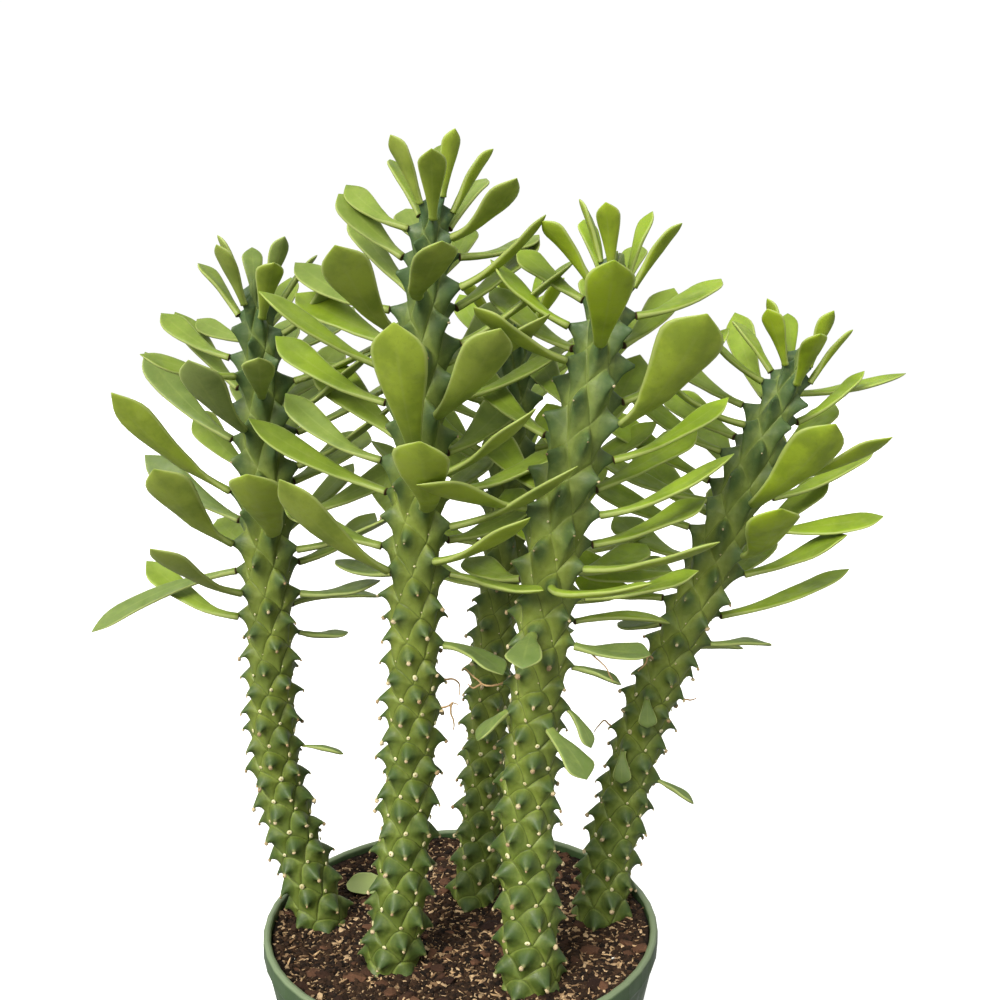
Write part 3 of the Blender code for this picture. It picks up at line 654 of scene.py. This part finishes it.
def leafPoints(stem, number, leaf, chance):
    heading, rise, length, width, arch, roll = leaf
    end, outward, _, _ = stem.knobEnd(number)
    stations = np.array(blade["stations"])
    half = 0.5 * width * mm * np.interp(stations, *blade["width"])
    half[1] = min(blade["footHalf"], half[2] * 1.1)
    half[0] = half[1] * 0.6
    deep = 0.5 * blade["thickness"] * np.interp(stations, *blade["depth"])
    deep[0] *= 0.6
    deep = np.minimum(deep, np.maximum(half * 0.9, 0.1 * mm))
    sideAngle = math.atan2(outward[0], -outward[1])
    turn = (math.radians(heading) - sideAngle + math.pi) % math.tau - math.pi
    angles = np.arange(blade["around"]) / blade["around"] * math.tau
    across = np.cos(angles)
    above = np.sign(np.sin(angles)) * np.abs(np.sin(angles)) ** 0.8
    wave = chance.uniform(-0.5, 0.5, 3)
    cup = blade["cup"] + chance.uniform(-0.06, 0.12)
    lean = chance.uniform(-0.09, 0.09)
    old = float(stem.share(stem.alongAt(number))) < 0.57 and length < 35
    tone = blade["oldTone"] if old else chance.uniform(*stem.spec["leafTone"])
    centre = end - outward * blade["sunk"]
    rings = []
    last = 0.0
    for k, t in enumerate(stations):
        middle = 0.5 * (t + last)
        slope = math.radians(rise + arch * (middle - 0.5))
        bearing = sideAngle + turn * min(middle / 0.3, 1.0)
        flat = np.array([math.cos(bearing), math.sin(bearing), 0.0])
        forward = np.array([flat[1] * math.cos(slope), -flat[0] * math.cos(slope), math.sin(slope)])
        upper = np.cross(forward, flat)
        centre = centre + forward * (t - last) * length * mm
        spin = math.radians(roll) * min(middle / 0.3, 1.0)
        flatTurned = flat * math.cos(spin) + upper * math.sin(spin)
        upTurned = upper * math.cos(spin) - flat * math.sin(spin)
        fold = cup * half[k] * np.abs(across) ** 1.4 * smooth(t, 0.15, 0.5)
        waver = half[k] * 0.10 * across * math.sin(7 * t + 6 * wave[0]) * smooth(t, 0.3, 0.7)
        twist = half[k] * 0.25 * wave[1] * across * t
        rings.append(centre + np.outer(across * half[k] * (1 + lean * np.sign(across)), flatTurned)
                     + np.outer(above * deep[k] + fold + waver + twist, upTurned))
        last = t
    return np.concatenate(rings), tone


# the few leaves left on the bare part of the stems, written as in the list above
smallLeaves = {
    "stem_1": [(80, 85, 90, -12, 17, 4)],
    "stem_3": [(110, -60, -60, -34, 15, 9), (121, 75, 80, -18, 19, 7), (104, 62, 44, -48, 16, 6)],
    "stem_4": [(62, 80, 75, -30, 17, 6), (120, 85, 96, -2, 22, 5), (97, -20, 0, -66, 12, 7.5),
               (72, -50, -8, -64, 13, 7.5), (168, 65, 82, 8, 46, 15), (161, 60, 62, 26, 44, 15)],
}

# leaves that aren't listed: shares of the stem's height, and what a leaf is like there
leafRule = {
    "shares": (0.40, 0.50, 0.58, 0.70, 0.84, 0.93, 1.0),
    "length": (20, 28, 46, 54, 48, 36, 24),
    "width": (7, 9, 12.5, 14.5, 13.5, 11, 8),
    "rise": (-22, -8, 12, 28, 32, 34, 50),
    "odds": ((0.42, 0.50, 0.58, 0.70, 1.0), (0.0, 0.3, 0.9, 1.0, 1.0)),
    "oddsFacing": ((35, 60, 90), (0.0, 0.5, 1.0)),
    "clearance": 6 * mm,
}


def within180(angle):
    return (angle + 180) % 360 - 180


def rollFor(heading, rise):
    # steep leaves in front turn their face forward, leaves at the sides tip about their own length
    if abs(heading) <= 60:
        return -growth["leafFacing"] * heading if rise > 30 else 0.0
    return growth["leafRollRight"] if heading > 0 else -growth["leafRoll"]


def ruleLeaf(stem, number, chance):
    # heading, rise, length, width, arch and roll that a leaf has at this height
    share = float(stem.share(stem.alongAt(number)))
    length, width, rise = [np.interp(share, leafRule["shares"], leafRule[key])
                           for key in ("length", "width", "rise")]
    length = length * chance.uniform(0.85, 1.1)
    width = width * chance.uniform(0.85, 1.25)
    rise = rise + chance.uniform(-9, 9)
    heading = stem.angleAt(number) + chance.uniform(-14, 14)
    roll = rollFor(within180(heading), rise) + chance.uniform(-14, 18)
    return heading, rise, length, width, chance.uniform(10, 34), roll


def middleLine(stem, number, leaf):
    heading, rise, length = math.radians(leaf[0]), math.radians(leaf[1]), leaf[2] * mm
    way = np.array([math.sin(heading) * math.cos(rise), -math.cos(heading) * math.cos(rise), math.sin(rise)])
    return stem.knobEnd(number)[0] + np.outer(np.linspace(0.25, 1, 6) * length, way)


def clearOfStems(name, line):
    gaps = [np.linalg.norm(stem.line[None, :, :] - line[:, None, :], axis=2).min() - stem.radius
            for other, stem in grown.items() if other != name]
    return min(gaps) >= leafRule["clearance"]


def leafPlan(name, stem):
    chance = np.random.default_rng(stem.spec["seed"] + 100)
    plan = {}
    for height, angle, heading, rise, length, width in stem.spec["leaves"]:
        number = stem.nearestKnob(height, angle, plan)
        plan[number] = (heading, rise, length, width, 24 if rise > 0 else -24, rollFor(heading, rise))
    for height, angle, heading, rise, length, width in smallLeaves.get(name, []):
        number = stem.nearestKnob(height, angle, plan)
        plan[number] = (heading, rise, length, width) + ((20, 22) if length > 40 else (-20, 0.0))
    for number in stem.knobs[::-1]:
        if number in plan:
            continue
        step = stem.knobs[-1] - number
        facing = within180(stem.angleAt(number))
        if step < growth["crownLeaves"]:
            plan[number] = (facing, 70 - 4.5 * step, growth["crownLeafLength"] + 0.9 * step,
                            7.2 + 0.5 * step, -14, -0.25 * facing if abs(facing) < 100 else 0.0)
            continue
        odds = np.interp(float(stem.share(stem.alongAt(number))), *leafRule["odds"])
        if chance.random() > odds * np.interp(abs(facing), *leafRule["oddsFacing"]):
            continue
        leaf = ruleLeaf(stem, number, chance)
        if clearOfStems(name, middleLine(stem, number, leaf)):
            plan[number] = leaf
    return plan


def makeLeaves(name, stem, plan):
    chance = np.random.default_rng(stem.spec["seed"] + 200)
    rings, around = len(blade["stations"]), blade["around"]
    size = rings * around
    angles = np.arange(around) / around * math.tau
    points, tones = zip(*[leafPoints(stem, number, leaf, chance) for number, leaf in sorted(plan.items())])
    count = len(points)
    faces = [[i + k * size for i in face] for k in range(count) for face in ringFaces(rings, around)]
    marks = {"edge": np.tile(np.abs(np.cos(angles)), rings * count),
             "under": np.tile(np.sin(angles) < 0, rings * count),
             "reach": np.tile(np.repeat(blade["stations"], around), count), "tone": np.repeat(tones, size)}
    thing = makeObject(name.replace("stem", "leaves"), np.concatenate(points), faces, leafSkin, marks)
    tidyMesh(thing, capHoles=False)
    return thing


plans = {}
for name, stem in grown.items():
    plans[name] = leafPlan(name, stem)
    piece = makeLeaves(name, stem, plans[name])
    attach(piece, "root")
    inCad = [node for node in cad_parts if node.startswith(name + "_leaf_")]
    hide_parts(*inCad)
print("leaves made:", {name: len(plan) for name, plan in plans.items()})


# scars and rings on the stems, set by Geometry Nodes on a cloud of points

class Tree(Graph):
    # a Geometry Nodes tree with named inputs

    def __init__(self, name, sizes):
        super().__init__(bpy.data.node_groups.new(name, "GeometryNodeTree"))
        sockets = self.tree.interface
        sockets.new_socket("Geometry", in_out="INPUT", socket_type="NodeSocketGeometry")
        sockets.new_socket("Geometry", in_out="OUTPUT", socket_type="NodeSocketGeometry")
        self.names = {}
        for key, (kind, value) in sizes.items():
            socket = sockets.new_socket(key, in_out="INPUT", socket_type="NodeSocket" + kind)
            socket.default_value = value
            self.names[key] = socket.identifier
        self.source = self.tree.nodes.new("NodeGroupInput").outputs
        self.target = self.tree.nodes.new("NodeGroupOutput").inputs

    def random(self, low, high, seed, vector=False):
        first = 0 if vector else 2
        node = self.add("FunctionNodeRandomValue", {first: low, first + 1: high, "Seed": seed},
                        data_type="FLOAT_VECTOR" if vector else "FLOAT")
        return node.outputs[0 if vector else 1]

    def attribute(self, name, kind="FLOAT"):
        node = self.add("GeometryNodeInputNamedAttribute", {"Name": name}, data_type=kind)
        return node.outputs["Attribute"]

    def position(self):
        return self.add("GeometryNodeInputPosition").outputs[0]

    def vector(self, operation, inputs, output=0):
        return self.add("ShaderNodeVectorMath", inputs, operation=operation).outputs[output]

    def store(self, geometry, name, value, domain):
        node = self.add("GeometryNodeStoreNamedAttribute", {"Geometry": geometry, "Name": name},
                        data_type="FLOAT", domain=domain)
        self.join(value, node.inputs["Value"])
        return node.outputs["Geometry"]

    def uneven(self, geometry, scale, detail, amount):
        # push every point aside by a noise on its place
        noise = self.add("ShaderNodeTexNoise", {"Vector": self.position(), "Scale": scale, "Detail": detail})
        shift = self.vector("ADD", {0: noise.outputs["Color"], 1: (-0.5, -0.5, -0.5)})
        offset = self.vector("SCALE", {0: shift, "Scale": amount})
        moved = self.add("GeometryNodeSetPosition", {"Geometry": geometry, "Offset": offset})
        return moved.outputs["Geometry"]

    def onPoints(self, points, instance, rotation, scale):
        node = self.add("GeometryNodeInstanceOnPoints", {"Points": points, "Instance": instance,
                                                         "Rotation": rotation, "Scale": scale})
        return node.outputs["Instances"]

    def finish(self, geometry, material):
        real = self.add("GeometryNodeRealizeInstances", {"Geometry": geometry})
        painted = self.add("GeometryNodeSetMaterial",
                           {"Geometry": real.outputs["Geometry"], "Material": material})
        self.join(painted.outputs["Geometry"], self.target["Geometry"])
        return self


def growNodes(thing, tree, values, material, shadeSmooth=True):
    # run a tree on a piece and keep the result as its plain mesh
    modifier = thing.modifiers.new(tree.tree.name, "NODES")
    modifier.node_group = tree.tree
    for key, value in values.items():
        modifier[tree.names[key]] = value
    graph = bpy.context.evaluated_depsgraph_get()
    mesh = bpy.data.meshes.new_from_object(thing.evaluated_get(graph), preserve_all_data_layers=True,
                                           depsgraph=graph)
    thing.modifiers.remove(modifier)
    thing.data = mesh
    mesh.materials.clear()
    mesh.materials.append(material)
    mesh.polygons.foreach_set("use_smooth", [shadeSmooth] * len(mesh.polygons))
    return thing


def pointCloud(name, spots):
    # each spot is a place, the direction that it faces, and a size
    places, directions, sizes = zip(*spots)
    mesh = bpy.data.meshes.new(name)
    mesh.from_pydata([tuple(p) for p in places], [], [])
    layer = mesh.attributes.new("outward", "FLOAT_VECTOR", "POINT")
    layer.data.foreach_set("vector", np.asarray(directions, dtype=np.float32).ravel())
    addValues(mesh, "size", sizes)
    return addObject(name, mesh)


def lumpTree(name, material):
    # a squashed, uneven lump on every point, facing outward, with its own turn and tone
    tree = Tree(name, {"Flatness": ("Float", 0.55), "Unevenness": ("Float", 0.35), "Seed": ("Int", 1)})
    ball = tree.add("GeometryNodeMeshIcoSphere", {"Radius": 1.0, "Subdivisions": 2})
    lump = tree.uneven(ball.outputs["Mesh"], 1.9, 2.0, tree.source["Unevenness"])
    flat = tree.add("ShaderNodeCombineXYZ", {0: 1.0, 1: 1.0, 2: tree.source["Flatness"]})
    squash = tree.add("GeometryNodeTransform", {"Geometry": lump, "Scale": flat.outputs[0]})
    across = tree.vector("MULTIPLY", {0: tree.position(), 1: (1.0, 1.0, 0.0)})
    length = tree.vector("LENGTH", {0: across}, "Value")
    marked = tree.store(squash.outputs["Geometry"], "middle", length, "POINT")
    facing = tree.attribute("outward", "FLOAT_VECTOR")
    turn = tree.add("FunctionNodeAlignRotationToVector", {"Vector": facing}, axis="Z")
    stretch = tree.random((0.75, 0.75, 0.8), (1.25, 1.25, 1.2), tree.source["Seed"], vector=True)
    size = tree.vector("SCALE", {0: stretch, "Scale": tree.attribute("size")})
    laid = tree.onPoints(tree.source["Geometry"], marked, turn.outputs[0], size)
    spin = tree.add("ShaderNodeCombineXYZ", {2: tree.random(0.0, 6.28, 7)})
    spun = tree.add("GeometryNodeRotateInstances", {"Instances": laid, "Rotation": spin.outputs[0]})
    toned = tree.store(spun.outputs["Instances"], "tone", tree.random(0.0, 1.0, 3), "INSTANCE")
    return tree.finish(toned, material)


scars = {"size": 0.76 * mm, "lowShare": 0.55, "ringSize": 0.85 * mm, "ringShare": 0.40, "lastShare": 0.85}


def makeScars():
    scarSpots, ringSpots = [], []
    for name, stem in grown.items():
        chance = np.random.default_rng(stem.spec["seed"])
        shares = {number: float(stem.share(stem.alongAt(number))) for number in stem.knobs}
        for number in stem.knobs:
            if number in plans[name] or shares[number] >= scars["lastShare"]:
                continue
            tip, way = tipsOfKnobs[name][number]
            size = scars["size"] * (1.0 if shares[number] < scars["lowShare"] else 0.6)
            scarSpots.append((tip - way * 0.2 * mm - np.array([0, 0, 0.25 * mm]), way,
                              size * chance.uniform(0.6, 1.35)))
        for number in stem.knobs:
            if shares[number] > scars["ringShare"] * 1.6:
                continue
            # a ring above each knob, where its flower once sat
            along = float(stem.alongAt(number + 3.6))
            way = stem.outward(along, stem.angleAt(number) + 4 * stem.winding)[0]
            size = scars["ringSize"] * (1.0 if shares[number] < scars["ringShare"] else 0.4)
            ringSpots.append((stem.place(along)[0] + way * (stem.core(along) * 0.97 + 0.75 * mm), way,
                              size * chance.uniform(0.7, 1.2)))
    cork = growNodes(pointCloud("corky_scars", scarSpots), lumpTree("corkScars", corkScar),
                     {"Flatness": 0.8, "Unevenness": 1.3, "Seed": 4}, corkScar)
    rings = growNodes(pointCloud("axil_rings", ringSpots), lumpTree("axilRings", axilRing),
                      {"Flatness": 0.4, "Unevenness": 0.25, "Seed": 5}, axilRing)
    for piece in (cork, rings):
        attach(piece, "root")
    print("scars and rings made:", len(scarSpots), len(ringSpots))


makeScars()


# soil: a loose surface banked up to the rim, with bark, wood fibre and grit on it

soil = {
    "edge": 74.9 * mm,
    "bank": 4.6 * mm,
    "low": 3.0 * mm,
    "lowRadius": 51.0 * mm,
    "rings": 90,
    "spokes": 240,
    "chipRings": 45,
    "chipSpokes": 120,
    "besideWall": 1.0 * mm,
    "besideStem": 1.5 * mm,
}

# name of the piece: material, how many, smallest and largest in mm, stretch, seed
chips = {
    "soil_crumbs": (crumbSkin, 7000, (0.6, 1.9), (1.1, 0.8, 0.6), 21),
    "wood_flecks": (fleckSkin, 4000, (0.30, 1.35), (1.6, 0.65, 0.35), 22),
    "wood_fibres": (fibreSkin, 1500, (0.4, 1.4), (3.2, 0.4, 0.3), 23),
    "bark_pieces": (barkSkin, 190, (1.3, 4.4), (1.3, 0.85, 0.36), 24),
    "pale_chips": (fleckSkin, 150, (1.0, 2.6), (1.6, 0.8, 0.3), 26),
    "white_grit": (perlite, 20, (0.5, 0.95), (1.0, 1.0, 0.9), 25),
}


def soilHeight(x, y):
    out = np.hypot(x, y) / soil["edge"]
    rough = (np.sin(x / (5.3 * mm) + 1.3) * np.sin(y / (4.1 * mm)) * 0.7 + np.sin((x - y) / (9 * mm)) * 0.6
             + np.sin(x / (2.1 * mm) + 2 * np.sin(y / (2.9 * mm))) * 0.25
             + np.sin(y / (1.7 * mm) + 2 * np.sin(x / (2.3 * mm))) * 0.25)
    return growth["soilLevel"] - 0.6 * mm + rough * 0.6 * mm + soil["bank"] * np.clip(out, 0, 1) ** 7


def soilRings(radii, spokes):
    # rings of points on the soil's surface, and the faces between them
    turns = np.arange(spokes) / spokes * math.tau
    points, faces = [], []
    for radius in radii:
        x, y = radius * np.cos(turns), radius * np.sin(turns)
        points += list(zip(x, y, soilHeight(x, y)))
    for k in range(len(radii) - 1):
        for i in range(spokes):
            inner, outer, j = k * spokes, (k + 1) * spokes, (i + 1) % spokes
            faces.append((inner + i, outer + i, outer + j, inner + j))
    return points, faces


def makeSoil():
    rings, spokes = soil["rings"], soil["spokes"]
    points, faces = soilRings(soil["edge"] * np.arange(1, rings + 1) / rings, spokes)
    middle, lowest = len(points), len(points) + 1
    points.append((0.0, 0.0, float(soilHeight(0, 0))))
    faces += [(middle, i, (i + 1) % spokes) for i in range(spokes)]
    turns = np.arange(spokes) / spokes * math.tau
    points += list(zip(soil["lowRadius"] * np.cos(turns), soil["lowRadius"] * np.sin(turns),
                       np.full(spokes, soil["low"])))
    edge = middle - spokes
    for i in range(spokes):
        j = (i + 1) % spokes
        faces.append((edge + i, lowest + i, lowest + j, edge + j))
    faces.append(tuple(range(lowest, lowest + spokes)))
    ground = makeObject("soil_surface", points, faces, soilMix)
    tidyMesh(ground)
    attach(ground, "root")
    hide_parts("soil")


def scatterTree(name, material):
    # uneven chips lying on a surface, each with its own size, turn and tone
    tree = Tree(name, {"Count": ("Float", 1000.0), "Smallest": ("Float", 0.001), "Largest": ("Float", 0.002),
                       "Stretch": ("Vector", (1.0, 1.0, 1.0)), "Seed": ("Int", 1)})
    source = tree.source
    spread = tree.add("GeometryNodeDistributePointsOnFaces",
                      {"Mesh": source["Geometry"], "Density": source["Count"], "Seed": source["Seed"]})
    chip = tree.add("GeometryNodeMeshIcoSphere", {"Radius": 1.0, "Subdivisions": 1})
    shaped = tree.add("GeometryNodeTransform", {"Geometry": chip.outputs["Mesh"], "Scale": source["Stretch"]})
    size = tree.random(source["Smallest"], source["Largest"], 11)
    tilt = tree.random((-0.45, -0.45, 0.0), (0.45, 0.45, 6.28), 12, vector=True)
    laid = tree.onPoints(spread.outputs["Points"], shaped.outputs["Geometry"], tilt, size)
    toned = tree.store(laid, "tone", tree.random(0.0, 1.0, 13), "INSTANCE")
    real = tree.add("GeometryNodeRealizeInstances", {"Geometry": toned})
    return tree.finish(tree.uneven(real.outputs["Geometry"], 900.0, 1.0, source["Smallest"]), material)


def chipGround():
    # the part of the surface that chips lie on, clear of the stems and the wall
    radii = np.linspace(0, soil["edge"] - soil["besideWall"], soil["chipRings"] + 1)[1:]
    points, faces = soilRings(radii, soil["chipSpokes"])
    feet = [(stem.place(stem.base)[0][:2], stem.radius + soil["besideStem"]) for stem in grown.values()]
    middles = np.array(points)[np.array(faces)].mean(axis=1)[:, :2]
    clear = np.all([np.linalg.norm(middles - foot, axis=1) > reach for foot, reach in feet], axis=0)
    return points, [face for face, free in zip(faces, clear) if free]


def makeChips():
    points, faces = chipGround()
    area = math.pi * soil["edge"] ** 2
    for name, (material, count, (small, large), stretch, seed) in chips.items():
        piece = growNodes(makeObject(name, points, faces, material), scatterTree(name + "Scatter", material),
                          {"Count": count / area, "Smallest": small * mm, "Largest": large * mm,
                           "Stretch": stretch, "Seed": seed}, material, shadeSmooth=False)
        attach(piece, "root")
        print(name, len(piece.data.polygons), "faces")


makeSoil()
makeChips()


# dry flower stalks that still hang on the stems, swept by Geometry Nodes along drawn lines

stalks = {
    "thickness": 0.45 * mm,
    "crookedness": 0.9 * mm,
    # stem, knob's height and angle, then the bends of the stalk: sideways, outward and upward in mm
    "lines": [
        ("stem_2", (107, 75), [(0, 0, 0), (1, 3, 1), (0, 5, 3), (1, 7, 2)]),
        ("stem_2", (107, 75), [(0, 5, 3), (-1, 5, 0), (0, 6, -5), (1, 5, -8)]),
        ("stem_2", (122, 80), [(0, 0, 0), (0, 4, 0), (1, 6, -3), (0, 6, -6)]),
        ("stem_3", (118, -80), [(0, 0, 0), (2, 4, -1), (1, 8, -1), (-2, 12, 1), (0, 15, 4)]),
        ("stem_3", (118, -80), [(1, 8, -1), (0, 11, -3), (-1, 13, -2)]),
        ("stem_3", (130, 60), [(0, 0, 0), (0, 5, -1), (1, 11, -5), (1, 15, -10)]),
        ("stem_4", (110, -60), [(0, 0, 0), (0, 4, 1), (1, 6, -2), (0, 7, -6)]),
        ("stem_4", (78, -80), [(0, 0, 0), (0, 4, 2), (1, 6, 0), (0, 7, -4)]),
        ("stem_4", (96, 60), [(0, 0, 0), (0, 3, 1), (0, 5, 3)]),
    ],
}


def stalkTree():
    # a thin, tapering, slightly crooked tube along each drawn line
    tree = Tree("dryStalks", {"Thickness": ("Float", 0.0004), "Crookedness": ("Float", 0.0005)})
    line = tree.add("GeometryNodeMeshToCurve", {"Mesh": tree.source["Geometry"]})
    curved = tree.add("GeometryNodeCurveSplineType", {"Curve": line.outputs["Curve"]},
                      spline_type="CATMULL_ROM")
    fine = tree.add("GeometryNodeResampleCurve", {"Curve": curved.outputs["Curve"], "Count": 22})
    crooked = tree.uneven(fine.outputs["Curve"], 420.0, 1.0, tree.source["Crookedness"])
    share = tree.add("GeometryNodeSplineParameter").outputs["Factor"]
    thin = tree.add("ShaderNodeMapRange", {"Value": share, "To Min": 1.0, "To Max": 0.45}).outputs["Result"]
    width = tree.add("ShaderNodeMath", {0: thin, 1: tree.source["Thickness"]}, operation="MULTIPLY")
    radius = width.outputs[0]
    sized = tree.add("GeometryNodeSetCurveRadius", {"Curve": crooked, "Radius": radius})
    ring = tree.add("GeometryNodeCurvePrimitiveCircle", {"Radius": 1.0, "Resolution": 8})
    swept = tree.add("GeometryNodeCurveToMesh", {"Curve": sized.outputs["Curve"], "Scale": radius,
                                                 "Profile Curve": ring.outputs["Curve"], "Fill Caps": True})
    return tree.finish(swept.outputs["Mesh"], dryStalk)


def makeStalks():
    points, edges = [], []
    for name, (height, angle), bends in stalks["lines"]:
        stem = grown[name]
        end, outward, side, up = stem.knobEnd(stem.nearestKnob(height, angle, ()))
        for k, (aside, out, rise) in enumerate(bends):
            if k:
                edges.append((len(points) - 1, len(points)))
            points.append(end + (side * aside + outward * (out - 0.5) + up * rise) * mm)
    mesh = bpy.data.meshes.new("dry_stalks")
    mesh.from_pydata([tuple(p) for p in points], edges, [])
    thing = growNodes(addObject("dry_stalks", mesh), stalkTree(),
                      {"Thickness": stalks["thickness"], "Crookedness": stalks["crookedness"]}, dryStalk)
    tidyMesh(thing, weld=1e-6)
    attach(thing, "root")
    print("dry stalks made:", len(thing.data.polygons), "faces")


makeStalks()


# shed leaf, and the pot's own finish

shed = {
    "place": (-41, 32.5),
    "turn": 168,
    "length": 21,
    "width": 12,
    "tilt": 20,
    "above": 2.4 * mm,
    "rings": 12,
    "around": 14,
    "outline": ((0, 0.1, 0.3, 0.55, 0.8, 0.93, 1), (0.14, 0.3, 0.75, 1, 0.93, 0.62, 0.1)),
}


def makeShedLeaf():
    x, y = (value * mm for value in shed["place"])
    turn, slant = math.radians(shed["turn"]), math.radians(shed["tilt"])
    along = np.array([math.cos(turn), math.sin(turn), 0.0])
    across = np.array([-along[1], along[0], 0.0])
    across = across * math.cos(slant) + np.array([0.0, 0.0, 1.0]) * math.sin(slant) * np.sign(across[1])
    facing = np.array([0.0, -math.sin(slant), math.cos(slant)])
    level = float(soilHeight(x, y)) + shed["above"]
    rings, around = shed["rings"], shed["around"]
    stations = np.linspace(0, 1, rings)
    half = 0.5 * shed["width"] * mm * np.interp(stations, *shed["outline"])
    angles = np.arange(around) / around * math.tau
    points = []
    for t, wide in zip(stations, half):
        centre = np.array([x, y, level]) + along * (t - 0.5) * shed["length"] * mm
        swell = 0.7 * mm * np.sin(angles) * min(1, 3 * t + 0.2, 3 * (1 - t) + 0.15)
        lift = swell + 0.3 * wide * np.cos(angles) ** 4
        points.append(centre + np.outer(np.cos(angles) * wide, across) + np.outer(lift, facing))
    count = rings * around
    piece = makeObject("shed_leaf", np.concatenate(points), ringFaces(rings, around), paleLeafSkin,
                       {"edge": np.tile(np.abs(np.cos(angles)), rings), "under": np.zeros(count),
                        "tone": np.full(count, 0.3), "reach": np.repeat(0.1 + 0.9 * stations, around)})
    tidyMesh(piece, capHoles=False)
    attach(piece, "root")
    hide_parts("fallen_leaf")


makeShedLeaf()
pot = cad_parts["pot"]
pot.data.materials.clear()
pot.data.materials.append(potPlastic)
print("soil and pot finished")


# floor, lights and camera

stage = {
    "size": 6.0,
    "wallSides": 64,
    "eye": (15.5 * mm, -418.3 * mm, 348 * mm),
    "tilt": 8.68,
    "lens": 40,
    # how bright the sky is, from straight down to straight up
    "sky": ((0.0, 0.41), (0.40, 0.41), (0.62, 0.71), (1.0, 1.2)),
    "sun": 4.3,
    "sunFrom": (-0.60, -0.95, 0.85),
    "sunSoftness": 32,
}


def makeStage():
    # pale floor and plain backdrop, which show white and throw no light back at the plant
    size, sides = stage["size"], stage["wallSides"]
    floorPaint = Paint("paleFloor").finish(Base_Color=srgb(246, 246, 244), Roughness=0.9,
                                           Emission_Color=(1.0, 1.0, 1.0, 1.0), Emission_Strength=0.3)
    floor = makeObject("floor", [(-size, -size, 0), (size, -size, 0), (size, size, 0), (-size, size, 0)],
                       [(0, 1, 2, 3)], floorPaint, shadeSmooth=False)
    wallPaint = Paint("plainBackdrop").finish(Base_Color=(0.0, 0.0, 0.0, 1.0), Roughness=1.0,
                                              Emission_Color=(1.0, 1.0, 1.0, 1.0), Emission_Strength=1.0)
    turns = np.arange(sides) / sides * math.tau
    low = [(size * 0.95 * math.cos(t), size * 0.95 * math.sin(t), -0.01) for t in turns]
    high = [(x, y, size) for x, y, _ in low]
    faces = [(i, sides + i, sides + (i + 1) % sides, (i + 1) % sides) for i in range(sides)]
    wall = makeObject("backdrop", low + high, faces + [tuple(range(sides, 2 * sides))], wallPaint,
                      shadeSmooth=False)
    for thing in (floor, wall):
        thing.visible_diffuse = False
        thing.visible_glossy = False
        thing.visible_transmission = False
        thing.visible_shadow = False


def makeSky():
    world = bpy.data.worlds.new("softRoom")
    world.use_nodes = True
    sky = Graph(world.node_tree)
    split = sky.add("ShaderNodeSeparateXYZ", {0: sky.add("ShaderNodeTexCoord").outputs["Generated"]})
    height = sky.add("ShaderNodeMapRange", {"Value": split.outputs["Z"], "From Min": -1.0})
    ramp = sky.add("ShaderNodeValToRGB", {"Fac": height.outputs["Result"]})
    points = ramp.color_ramp.elements
    while len(points) < len(stage["sky"]):
        points.new(0.5)
    for point, (position, level) in zip(points, stage["sky"]):
        point.position = position
        point.color = (level, level, level, 1.0)
    sky.join(ramp.outputs["Color"], world.node_tree.nodes["Background"].inputs["Color"])
    bpy.context.scene.world = world


def makeSun():
    lamp = bpy.data.lights.new("softSun", "SUN")
    lamp.energy = stage["sun"]
    lamp.angle = math.radians(stage["sunSoftness"])
    lamp.color = (1.0, 0.985, 0.95)
    addObject("softSun", lamp).rotation_euler = Vector(stage["sunFrom"]).to_track_quat("Z", "Y").to_euler()


def makeCamera():
    lens = bpy.data.cameras.new("camera")
    lens.lens = stage["lens"]
    lens.sensor_width = 36
    lens.clip_start = 0.01
    camera = addObject("camera", lens)
    camera.location = stage["eye"]
    camera.rotation_euler = (math.radians(90 - stage["tilt"]), 0, 0)
    bpy.context.scene.camera = camera


makeStage()
makeSky()
makeSun()
makeCamera()
bpy.context.scene.view_settings.view_transform = "Standard"
print("stage set")
